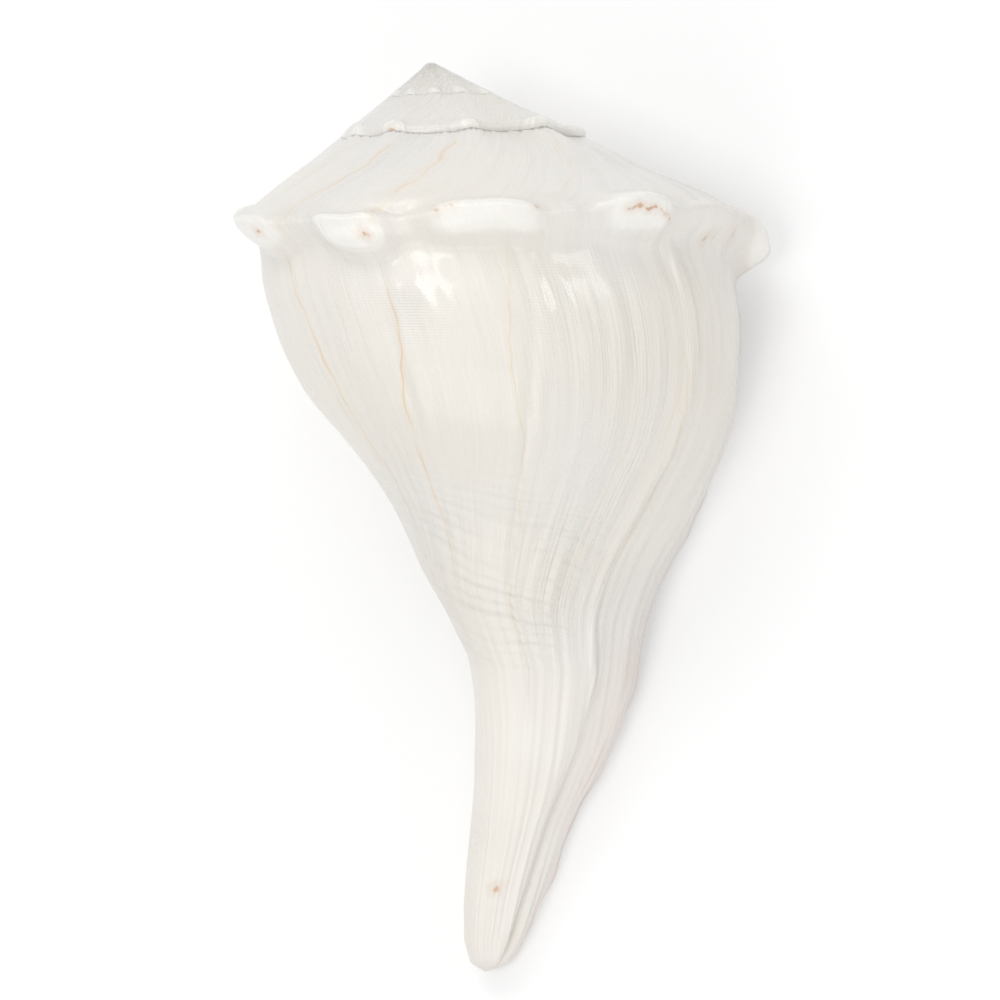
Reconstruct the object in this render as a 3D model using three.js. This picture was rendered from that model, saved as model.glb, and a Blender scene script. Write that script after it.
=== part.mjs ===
// A white left-handed whelk shell, lying on its aperture side as it rests on a table.
// Lengths are millimetres and +Z is up.
import * as THREE from 'three';

const RADIANS = Math.PI / 180;
const TURN = 2 * Math.PI;

// Coiling: every full turn the shell grows by this factor, in radius and along the axis.
const WHORL_GROWTH = 2.12;
const GROWTH_RATE = Math.log(WHORL_GROWTH) / TURN;
const WHORLS = 4;

// Profile of the outer lip as [distance from the axis, distance below the apex].
// It runs from the suture over the ramp, round the shoulder and down to the tip of the canal.
const LIP_PROFILE = [
  [31.6, 22.4], [38.6, 26.3], [48.0, 31.8], [56.0, 36.4], [60.6, 39.4],
  [62.6, 41.4], [63.2, 43.6], [62.4, 46.0],
  [60.9, 49.5], [60.7, 56.0], [61.3, 64.0], [60.4, 74.0], [57.8, 86.0], [52.6, 97.5],
  [45.2, 109.0], [37.3, 119.3], [32.4, 129.0], [29.8, 138.0], [27.2, 146.0], [23.8, 153.0],
  [18.6, 160.5], [12.6, 168.8], [7.6, 178.0], [2.6, 187.0], [-2.8, 195.0], [-7.0, 199.0],
  [-11.3, 200.4],
];
const SHOULDER_STEP = 6;
const SUTURE_STEP = 7;
const TIP_STEP = LIP_PROFILE.length - 1;

// Pillar inside the canal as [distance below the apex, sideways shift of its centre, radius].
const PILLAR = [
  [0, 0, 7.0], [100, -1.8, 6.2], [127, -1.5, 5.6], [133, 0.6, 4.6], [140, 2.2, 4.0], [145, 1.0, 4.0],
  [155, -1.2, 5.6], [165, -3.6, 5.8], [175, -6.2, 5.6], [185, -8.8, 5.2], [193, -10.6, 4.4],
  [198, -11.4, 2.9], [200.4, -11.3, 0.0],
];
// Heights between which the coiled body passes into the straight canal.
const CANAL_BLEND = [84, 165];
const CANAL_OPENING_ANGLE = 252 * RADIANS;
const CANAL_FLARE_POWER = 2.3;
const PILLAR_INNER_SHARE = 0.45;
const LEFT_FULLNESS = 2.4;

// Slant of the growth lines as [distance below the apex, degrees ahead of the shoulder].
const GROWTH_LINE_LEAD = [
  [22, 26], [31, 15], [43, 0], [56, 3.5], [75, 7], [100, 9.5], [118, 7], [130, 2], [145, 4],
  [170, 10], [201, 10],
];

// Shoulder keel and its knobs as [growth angle in degrees, half width in degrees, height in mm].
const KEEL_HEIGHT = 2.2;
const KEEL_HALF_WIDTH = 5.0;
const KNOBS = [
  [2, 9, 4.2], [-20, 8, 1.0], [-49, 10, 3.4], [-66, 8, 1.8], [-88, 13, 3.2], [-112, 9, 4.4],
  [-150, 13, 4.4], [-190, 12, 4.2], [-228, 12, 4.0], [-264, 12, 4.2], [-300, 12, 4.0],
  [-334, 11, 4.2], [-370, 11, 3.6], [-421, 10, 4.2], [-467, 10, 4.4], [-503, 10, 4.2],
  [-540, 11, 4.2], [-576, 10, 4.2], [-610, 10, 4.2], [-645, 10, 4.2], [-680, 10, 4.2],
];
const SPIRE_KNOB_SPACING = 30;
const SPIRE_KNOB = [9, 4.0];

// Wall thickness at the lip edge and further in.
const LIP_THICKNESS = 1.8;
const WALL_THICKNESS = 3.2;
const WALL_THICKENING_ANGLE = 35 * RADIANS;

// Lower end of the hollow as [degrees back from the lip, distance below the apex].
const TROUGH_FLOOR = [
  [0, 200.4], [15, 196], [35, 190], [55, 176], [75, 150], [95, 125], [110, 117.7],
];
const HOLLOW_DEPTH_FACTOR = 148;
const HOLLOW_ANGLE = 432 * RADIANS;

// Mesh fineness.
const COLUMNS_PER_TURN = 52;
const HOLLOW_COLUMNS = 40;
const RAMP_STEPS = [0, 1.2, 2.4, 3.5, 4.6, 5.4, 6.2, 7];

// Resting attitude: roll about the long axis and pitch of the apex.
const REST_ROLL = 15.3 * RADIANS;
const REST_PITCH = 12.1 * RADIANS;

const SHELL_COLOUR = '#f1eee8';

function smoothStep(from, to, value) {
  const share = Math.min(Math.max((value - from) / (to - from), 0), 1);
  return share * share * (3 - 2 * share);
}

function tableValue(table, key, column) {
  if (key <= table[0][0]) return table[0][column];
  for (let i = 1; i < table.length; i += 1) {
    if (key <= table[i][0]) {
      const share = (key - table[i - 1][0]) / (table[i][0] - table[i - 1][0]);
      return table[i - 1][column] + share * (table[i][column] - table[i - 1][column]);
    }
  }
  return table[table.length - 1][column];
}

function growth(angle) {
  return Math.exp(GROWTH_RATE * angle);
}

const lipCurve = new THREE.CatmullRomCurve3(
  LIP_PROFILE.map(([r, h]) => new THREE.Vector3(r, h, 0)),
  false,
  'centripetal',
);

// Lip profile at a step that counts along LIP_PROFILE.
function lipPoint(step) {
  const share = Math.min(Math.max(step / TIP_STEP, 0), 1);
  const point = lipCurve.getPoint(share);
  return [point.x, point.y];
}

// Smooth outer surface as [x right, distance below the apex, z towards the back].
function smoothPoint(angle, step) {
  const [lipRadius, lipDepth] = lipPoint(step);
  const size = growth(angle);
  const inCanal = smoothStep(CANAL_BLEND[0], CANAL_BLEND[1], lipDepth);
  const shift = tableValue(PILLAR, lipDepth, 1);
  const innerShare = smoothStep(-TURN, -0.775 * TURN, angle);
  const pillarShare = PILLAR_INNER_SHARE + (1 - PILLAR_INNER_SHARE) * innerShare;
  const pillar = tableValue(PILLAR, lipDepth, 2) * pillarShare;
  const opened = Math.max((angle + CANAL_OPENING_ANGLE) / CANAL_OPENING_ANGLE, 0);
  const flare = opened ** CANAL_FLARE_POWER;
  const canalRadius = pillar + (lipRadius - shift - pillar) * flare;
  const swell = LEFT_FULLNESS * Math.exp(-(((lipDepth - 99) / 8) ** 2));
  const bodyRadius = size * (lipRadius + swell * Math.sin(angle / 2) ** 2);
  const turned = angle + tableValue(GROWTH_LINE_LEAD, lipDepth, 1) * RADIANS;
  const radius = (1 - inCanal) * bodyRadius + inCanal * canalRadius;
  return new THREE.Vector3(
    radius * Math.cos(turned) + inCanal * shift,
    lipDepth * ((1 - inCanal) * size + inCanal),
    -radius * Math.sin(turned),
  );
}

// Outward normal of the smooth outer surface.
function smoothNormal(angle, step) {
  const inside = Math.min(Math.max(step, 0.02), TIP_STEP - 0.05);
  const alongGrowth = smoothPoint(angle + 0.004, inside).sub(smoothPoint(angle - 0.004, inside));
  const alongLip = smoothPoint(angle, inside + 0.01).sub(smoothPoint(angle, inside - 0.01));
  return alongGrowth.cross(alongLip).normalize();
}

function knobHeight(angle) {
  const degrees = angle / RADIANS;
  let height = 0;
  if (degrees < -700) {
    const nearest = Math.round(degrees / SPIRE_KNOB_SPACING) * SPIRE_KNOB_SPACING;
    return SPIRE_KNOB[1] * Math.exp(-(((degrees - nearest) / SPIRE_KNOB[0]) ** 2));
  }
  for (const [centre, halfWidth, top] of KNOBS) {
    height = Math.max(height, top * Math.exp(-(((degrees - centre) / halfWidth) ** 2)));
  }
  return height;
}

// Outer surface with the keel, the knobs and the weld to the whorl before.
function outerPoint(angle, step) {
  const point = smoothPoint(angle, step);
  const size = growth(angle);
  const [lipRadius, lipDepth] = lipPoint(step);
  const [keelRadius, keelDepth] = lipPoint(SHOULDER_STEP);
  const distance = Math.hypot(lipRadius - keelRadius, lipDepth - keelDepth);
  if (distance < 4 * KEEL_HALF_WIDTH) {
    const rise = Math.exp(-((distance / KEEL_HALF_WIDTH) ** 2)) * size;
    const turned = Math.atan2(-point.z, point.x);
    const out = rise * (KEEL_HEIGHT + knobHeight(angle));
    point.x += out * Math.cos(turned);
    point.z -= out * Math.sin(turned);
    point.y -= out * 0.2;
  }
  if (step < 2.4 && angle > -(WHORLS - 1) * TURN - 0.001) {
    const gap = outerPoint(angle - TURN, SUTURE_STEP).sub(smoothPoint(angle, 0));
    point.addScaledVector(gap, 1 - smoothStep(0, 2.4, step));
  }
  return point;
}

function wallThickness(angle, step) {
  const body = WALL_THICKNESS * Math.sqrt(growth(angle));
  const edge = smoothStep(0, WALL_THICKENING_ANGLE, -angle);
  const nearSuture = edge + (1 - edge) * smoothStep(0, 1, step);
  const nearTip = smoothStep(TIP_STEP, TIP_STEP - 3, step);
  return (LIP_THICKNESS + (body - LIP_THICKNESS) * edge) * nearSuture * nearTip;
}

// Inner face of the wall whose outer face is at the same angle and step.
function innerPoint(angle, step) {
  const normal = smoothNormal(angle, step);
  return smoothPoint(angle, step).addScaledVector(normal, -wallThickness(angle, step));
}

function hollowFloor(angle) {
  const back = -angle / RADIANS;
  if (back < 110) return tableValue(TROUGH_FLOOR, back, 1);
  return HOLLOW_DEPTH_FACTOR * growth(angle);
}

// Step at which a face of the shell reaches a distance below the apex.
function stepAtDepth(face, angle, depth) {
  let low = SUTURE_STEP;
  let high = TIP_STEP;
  for (let i = 0; i < 40; i += 1) {
    const middle = (low + high) / 2;
    if (face(angle, middle).y < depth) low = middle;
    else high = middle;
  }
  return (low + high) / 2;
}

function buildShell() {
  const points = [];
  const triangles = [];
  const addPoint = (point) => points.push(point) - 1;
  const addQuad = (a, b, c, d) => {
    if (a !== b && b !== c && c !== a) triangles.push([a, b, c]);
    if (a !== c && c !== d && d !== a) triangles.push([a, c, d]);
  };
  const bodySteps = [];
  for (let step = SUTURE_STEP; step <= TIP_STEP; step += 1) bodySteps.push(step);
  const angleOf = (column) => ((column - COLUMNS_PER_TURN * WHORLS) / COLUMNS_PER_TURN) * TURN;

  // Spiral of ramps: each column starts on the shoulder of the whorl before.
  const apex = addPoint(new THREE.Vector3(0, 0.3, 0));
  const columns = [];
  const lastColumn = COLUMNS_PER_TURN * WHORLS;
  for (let i = 0; i <= lastColumn; i += 1) {
    const angle = angleOf(i);
    if (i < COLUMNS_PER_TURN) {
      columns.push([apex, addPoint(outerPoint(angle, SUTURE_STEP))]);
    } else {
      const start = columns[i - COLUMNS_PER_TURN];
      const column = [start[start.length - 1]];
      for (const step of RAMP_STEPS.slice(1)) column.push(addPoint(outerPoint(angle, step)));
      columns.push(column);
    }
  }
  for (let i = 0; i < lastColumn; i += 1) {
    const here = columns[i];
    const next = columns[i + 1];
    if (i + 1 < COLUMNS_PER_TURN) {
      triangles.push([apex, here[1], next[1]]);
    } else if (i + 1 === COLUMNS_PER_TURN) {
      const fan = [here[1], ...next.slice().reverse()];
      for (let j = 0; j + 1 < fan.length; j += 1) triangles.push([apex, fan[j], fan[j + 1]]);
    } else {
      for (let j = 0; j + 1 < here.length; j += 1) addQuad(here[j], here[j + 1], next[j + 1], next[j]);
    }
  }

  // Body and canal of the last whorl.
  const tip = addPoint(smoothPoint(0, TIP_STEP));
  const body = [];
  for (let i = 0; i <= COLUMNS_PER_TURN; i += 1) {
    const column = columns[lastColumn - COLUMNS_PER_TURN + i];
    const angle = angleOf(lastColumn - COLUMNS_PER_TURN + i);
    const strip = [column[column.length - 1]];
    for (const step of bodySteps.slice(1, -1)) strip.push(addPoint(outerPoint(angle, step)));
    strip.push(tip);
    body.push(strip);
  }
  for (let i = 0; i < COLUMNS_PER_TURN; i += 1) {
    for (let j = 0; j + 1 < bodySteps.length; j += 1) {
      addQuad(body[i][j], body[i][j + 1], body[i + 1][j + 1], body[i + 1][j]);
    }
  }

  // Hollow: closed loops that run down the inner face and back up the pillar.
  const steps = [...RAMP_STEPS, ...bodySteps.slice(1)];
  const loops = [];
  for (let i = 0; i <= HOLLOW_COLUMNS; i += 1) {
    const angle = -HOLLOW_ANGLE * (i / HOLLOW_COLUMNS);
    const roof = [];
    const floor = [];
    if (i === 0) {
      roof.push(body[0][0]);
      for (const step of steps.slice(1, -1)) roof.push(addPoint(innerPoint(0, step)));
      roof.push(tip);
      for (const point of body[0].slice().reverse()) floor.push(point);
    } else {
      const depth = hollowFloor(angle);
      const roofEnd = stepAtDepth(innerPoint, angle, depth);
      const floorStart = stepAtDepth(outerPoint, angle - TURN, depth - 0.5);
      const topShift = 2.3 * smoothStep(0, 25 * RADIANS, -angle);
      for (const step of steps) {
        roof.push(addPoint(innerPoint(angle, (step / TIP_STEP) * roofEnd)));
      }
      for (const step of bodySteps.slice().reverse()) {
        const share = (step - SUTURE_STEP) / (TIP_STEP - SUTURE_STEP);
        const top = SUTURE_STEP + topShift;
        floor.push(addPoint(outerPoint(angle - TURN, top + share * (floorStart - top))));
      }
    }
    loops.push([...roof, ...floor]);
  }
  for (let i = 0; i < HOLLOW_COLUMNS; i += 1) {
    const here = loops[i];
    const next = loops[i + 1];
    for (let j = 0; j < here.length; j += 1) {
      const k = (j + 1) % here.length;
      addQuad(here[j], here[k], next[k], next[j]);
    }
  }
  const deepest = loops[HOLLOW_COLUMNS];
  const middle = new THREE.Vector3();
  for (const index of deepest) middle.addScaledVector(points[index], 1 / deepest.length);
  const back = addPoint(middle);
  for (let j = 0; j < deepest.length; j += 1) {
    triangles.push([back, deepest[j], deepest[(j + 1) % deepest.length]]);
  }

  // Rim of the outer lip.
  const lip = [...columns[lastColumn], ...body[COLUMNS_PER_TURN].slice(1)];
  for (let j = 0; j + 1 < lip.length; j += 1) {
    addQuad(lip[j], lip[j + 1], loops[0][j + 1], loops[0][j]);
  }
  return [points, triangles];
}

function toGeometry(points, triangles) {
  const rest = new THREE.Matrix4().makeRotationX(REST_PITCH);
  rest.multiply(new THREE.Matrix4().makeRotationY(REST_ROLL));
  const placed = points.map((point) => new THREE.Vector3(point.x, -point.y, point.z).applyMatrix4(rest));
  const box = new THREE.Box3().setFromPoints(placed);
  const centre = box.getCenter(new THREE.Vector3());
  const positions = [];
  for (const point of placed) positions.push(point.x - centre.x, point.y - centre.y, point.z - box.min.z);
  const geometry = new THREE.BufferGeometry();
  geometry.setAttribute('position', new THREE.Float32BufferAttribute(positions, 3));
  geometry.setIndex(triangles.flat());
  geometry.computeVertexNormals();
  return geometry;
}

const [shellPoints, shellTriangles] = buildShell();
const material = new THREE.MeshStandardMaterial({ color: SHELL_COLOUR, roughness: 0.4, metalness: 0 });
material.name = 'shell_surface';
const shell = new THREE.Mesh(toGeometry(shellPoints, shellTriangles), material);
shell.name = 'shell';

const part = new THREE.Group();
part.name = 'whelk_shell';
part.add(shell);

export default part;
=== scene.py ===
"""Looks of a large white left-handed whelk shell that lies on its mouth side.

The shell is one piece. Its surface follows a growth spiral: every point has a growth angle, which
is 0 at the outer lip and falls towards the apex, and a step along the profile of the lip.
"""

from __future__ import annotations

import logging
import math
from dataclasses import dataclass
from enum import Enum
from typing import Callable

import bpy
import numpy as np
from mathutils import Matrix, Vector

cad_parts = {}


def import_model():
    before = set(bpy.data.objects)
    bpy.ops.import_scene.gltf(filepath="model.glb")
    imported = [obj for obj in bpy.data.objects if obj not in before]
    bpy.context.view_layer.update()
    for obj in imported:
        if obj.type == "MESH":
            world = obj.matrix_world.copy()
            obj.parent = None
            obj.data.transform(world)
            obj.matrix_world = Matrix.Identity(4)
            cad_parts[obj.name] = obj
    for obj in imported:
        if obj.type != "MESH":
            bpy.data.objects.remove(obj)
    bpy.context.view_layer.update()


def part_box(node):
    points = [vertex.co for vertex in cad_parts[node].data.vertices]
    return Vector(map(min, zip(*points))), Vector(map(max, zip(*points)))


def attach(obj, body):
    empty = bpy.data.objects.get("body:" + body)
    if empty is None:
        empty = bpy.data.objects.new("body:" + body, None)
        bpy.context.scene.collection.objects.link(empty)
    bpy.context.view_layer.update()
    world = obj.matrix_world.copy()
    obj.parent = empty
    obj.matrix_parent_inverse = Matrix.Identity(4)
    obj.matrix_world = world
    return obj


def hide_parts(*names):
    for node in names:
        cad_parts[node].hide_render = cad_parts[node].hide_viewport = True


LOG = logging.getLogger("whelk")
MM = 0.001
TURN = 2 * math.pi


class Node(Enum):
    """Names of the CAD nodes that are replaced."""

    SHELL = "shell"


class Zone(Enum):
    """Names of the surface attributes that the finish reads."""

    INSIDE = "inside"
    KNOB = "knob_height"
    TIP = "tip_wear"
    GROWTH = "growth_angle"
    ALONG = "along_lip"
    SEAM_AWAY = "seam_away"
    SEAM_STAIN = "seam_stain"
    PIT_ACROSS = "pit_across"
    PIT_UP = "pit_up"
    PIT_STAIN = "pit_stain"


def smooth_step(start: float, end: float, value: np.ndarray | float) -> np.ndarray:
    """Returns 0 before start, 1 after end and a smooth rise between them."""
    share = np.clip((value - start) / (end - start), 0.0, 1.0)
    return share * share * (3 - 2 * share)


def bump_curve(value: np.ndarray, centre: float, half_width: float) -> np.ndarray:
    """Returns a bell curve that is 1 at centre."""
    return np.exp(-(((value - centre) / half_width) ** 2))


@dataclass(frozen=True)
class Knob:
    """One knob on the shoulder keel.

    Args:
        angle: growth angle of its middle, in degrees.
        half_width: half width along the keel, in degrees.
        height: height above the keel, in mm on a full-size whorl.
        crispness: 1 for a bell, more for a flat-ended knob.
        drop: how far it sits below the keel's own line, in mm.
    """

    angle: float
    half_width: float
    height: float
    crispness: float = 1.0
    drop: float = 0.0


@dataclass(frozen=True)
class Ridge:
    """A former lip that stands as a ridge or step along the growth lines.

    Args:
        angle: growth angle in degrees.
        half_width: half width in degrees.
        height: height in mm, negative for a furrow.
        start: first profile step that it reaches.
        end: last profile step that it reaches.
        wander: how far it wanders, in degrees.
        phase: phase of the wander.
    """

    angle: float
    half_width: float
    height: float
    start: float
    end: float
    wander: float = 1.2
    phase: float = 0.0


@dataclass(frozen=True)
class GrowthForm:
    """Sizes of the coiled surface, in mm, and the formulas that give its points.

    Args:
        whorl_growth: how many times bigger a whorl is than the one before.
        profile: the outer lip, as (distance from the axis, distance below the apex).
        pillar: the canal's middle, as (depth, shift to the right, radius).
        ramp_age: how much earlier the ramp grew, as (depth, degrees).
        lead: how far growth lines run ahead, as (depth, degrees).
        canal_blend: depths between which the coil turns into the straight canal.
        canal_opening: angle over which the canal's flange opens.
        canal_power: how late it opens.
        pillar_share: thickness of the pillar's outer side, against its inner side.
        left_fullness: swelling opposite the mouth, in mm.
        shoulder_step: profile step of the keel.
        suture_step: profile step that the next whorl grows on.
        keel_height: height of the keel between knobs.
        whorls: number of whorls.
    """

    whorl_growth: float = 2.12
    profile: tuple[tuple[float, float], ...] = (
        (31.6, 22.4), (38.6, 26.3), (48.0, 31.8), (56.0, 36.4), (60.6, 39.4), (62.6, 41.4),
        (63.2, 43.6), (62.4, 46.0), (60.9, 49.5), (60.7, 56.0), (61.3, 64.0), (60.4, 74.0),
        (57.8, 86.0), (52.6, 97.5), (45.2, 109.0), (37.3, 119.3), (32.4, 129.0), (29.8, 138.0),
        (27.2, 146.0), (23.8, 153.0), (18.6, 160.5), (12.6, 168.8), (7.6, 178.0), (2.6, 187.0),
        (-1.8, 194.6), (-5.8, 198.8), (-11.3, 200.4),
    )
    pillar: tuple[tuple[float, float, float], ...] = (
        (0, 0, 7.0), (100, -1.8, 6.2), (127, -1.5, 5.6), (133, 0.6, 4.6), (140, 2.2, 4.0),
        (145, 1.0, 4.0), (155, -1.2, 5.6), (165, -3.6, 5.8), (175, -6.2, 5.6), (185, -8.8, 5.2),
        (193, -10.6, 4.4), (198, -11.4, 2.9), (200.4, -11.3, 0.0),
    )
    ramp_age: tuple[tuple[float, float], ...] = ((22, 26), (31, 15), (43, 0))
    lead: tuple[tuple[float, float], ...] = (
        (43, 0), (56, 3.5), (75, 7), (100, 9.5), (118, 7), (130, 2), (145, 4),
        (170, 10), (201, 10),
    )
    canal_blend: tuple[float, float] = (84.0, 165.0)
    canal_opening: float = math.radians(252)
    canal_power: float = 2.3
    pillar_share: float = 0.45
    left_fullness: float = 2.4
    shoulder_step: float = 6.0
    suture_step: float = 7.0
    keel_height: float = 2.9
    whorls: int = 5

    @property
    def tip_step(self) -> float:
        """Profile step of the canal's tip."""
        return float(len(self.profile) - 1)

    @property
    def first_turn_end(self) -> float:
        """Growth angle just before the end of the first turn."""
        return -(self.whorls - 1) * TURN - 0.001

    def growth(self, angle: np.ndarray | float) -> np.ndarray:
        """Returns the size of the whorl at a growth angle, against 1 at the lip."""
        return np.exp(math.log(self.whorl_growth) / TURN * np.asarray(angle, float))

    def lip(self, step: np.ndarray | float) -> tuple[np.ndarray, np.ndarray]:
        """Follows the lip's profile on a smooth curve through its points.

        Args:
            step: places along the profile, counted in its points.

        Returns:
            Distances from the axis and below the apex, in mm.
        """
        points = np.array(self.profile)
        padded = np.vstack([2 * points[0] - points[1], points, 2 * points[-1] - points[-2]])
        step = np.clip(np.asarray(step, float), 0, self.tip_step)
        index = np.minimum(step.astype(int), len(points) - 2)
        corners = [padded[index + offset] for offset in range(4)]
        spans = [
            np.sqrt(np.linalg.norm(corners[i + 1] - corners[i], axis=-1)) for i in range(3)
        ]
        knots = [np.zeros_like(spans[0]), spans[0], spans[0] + spans[1], sum(spans)]
        place = knots[1] + (step - index) * spans[1]

        def mix(left: int, right: int, low: np.ndarray, high: np.ndarray) -> np.ndarray:
            """Blends two rows of points between two knots."""
            share = ((place - knots[left]) / (knots[right] - knots[left]))[..., None]
            return low * (1 - share) + high * share

        first = [mix(i, i + 1, corners[i], corners[i + 1]) for i in range(3)]
        second = [mix(i, i + 2, first[i], first[i + 1]) for i in range(2)]
        point = mix(1, 2, second[0], second[1])
        return point[..., 0], point[..., 1]

    def arc(self) -> tuple[np.ndarray, np.ndarray]:
        """Measures the profile.

        Returns:
            Profile steps, and the length along the profile to each of them, in mm.
        """
        steps = np.linspace(0, self.tip_step, 800)
        radius, depth = self.lip(steps)
        pieces = np.hypot(np.diff(radius), np.diff(depth))
        return steps, np.concatenate([[0.0], np.cumsum(pieces)])

    def age(self, angle: np.ndarray, step: np.ndarray) -> np.ndarray:
        """Returns when each point grew: the ramp grows ahead of the shoulder beside it."""
        table = np.array(self.ramp_age)
        return angle - np.radians(np.interp(self.lip(step)[1], table[:, 0], table[:, 1]))

    def smooth(self, angle: np.ndarray, step: np.ndarray) -> np.ndarray:
        """Follows the plain coiled surface.

        Args:
            angle: growth angles in radians.
            step: places along the profile.

        Returns:
            Points: x right, y towards the apex, z towards the back.
        """
        radius, depth = self.lip(step)
        size = self.growth(self.age(angle, step))
        canal = smooth_step(*self.canal_blend, depth)
        table = np.array(self.pillar)
        shift = np.interp(depth, table[:, 0], table[:, 1])
        inner = smooth_step(-TURN, -0.775 * TURN, angle)
        pillar = np.interp(depth, table[:, 0], table[:, 2])
        pillar = pillar * (self.pillar_share + (1 - self.pillar_share) * inner)
        opened = np.clip((angle + self.canal_opening) / self.canal_opening, 0, None)
        canal_radius = pillar + (radius - shift - pillar) * opened**self.canal_power
        swell = self.left_fullness * bump_curve(depth, 99, 8)
        body_radius = size * (radius + swell * np.sin(angle / 2) ** 2)
        lead = np.array(self.lead)
        turned = angle + np.radians(np.interp(depth, lead[:, 0], lead[:, 1]))
        distance = (1 - canal) * body_radius + canal * canal_radius
        return np.stack(
            [
                distance * np.cos(turned) + canal * shift,
                -depth * ((1 - canal) * size + canal),
                -distance * np.sin(turned),
            ],
            axis=-1,
        )

    def normal(self, angle: np.ndarray, step: np.ndarray) -> np.ndarray:
        """Finds which way the plain surface faces.

        Args:
            angle: growth angles in radians.
            step: places along the profile.

        Returns:
            Outward directions of length 1.
        """
        step = np.clip(step, 0.02, self.tip_step - 0.05)
        across = self.smooth(angle + 0.004, step) - self.smooth(angle - 0.004, step)
        along = self.smooth(angle, step + 0.01) - self.smooth(angle, step - 0.01)
        normal = np.cross(along, across)
        return normal / np.maximum(np.linalg.norm(normal, axis=-1, keepdims=True), 1e-12)


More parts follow.
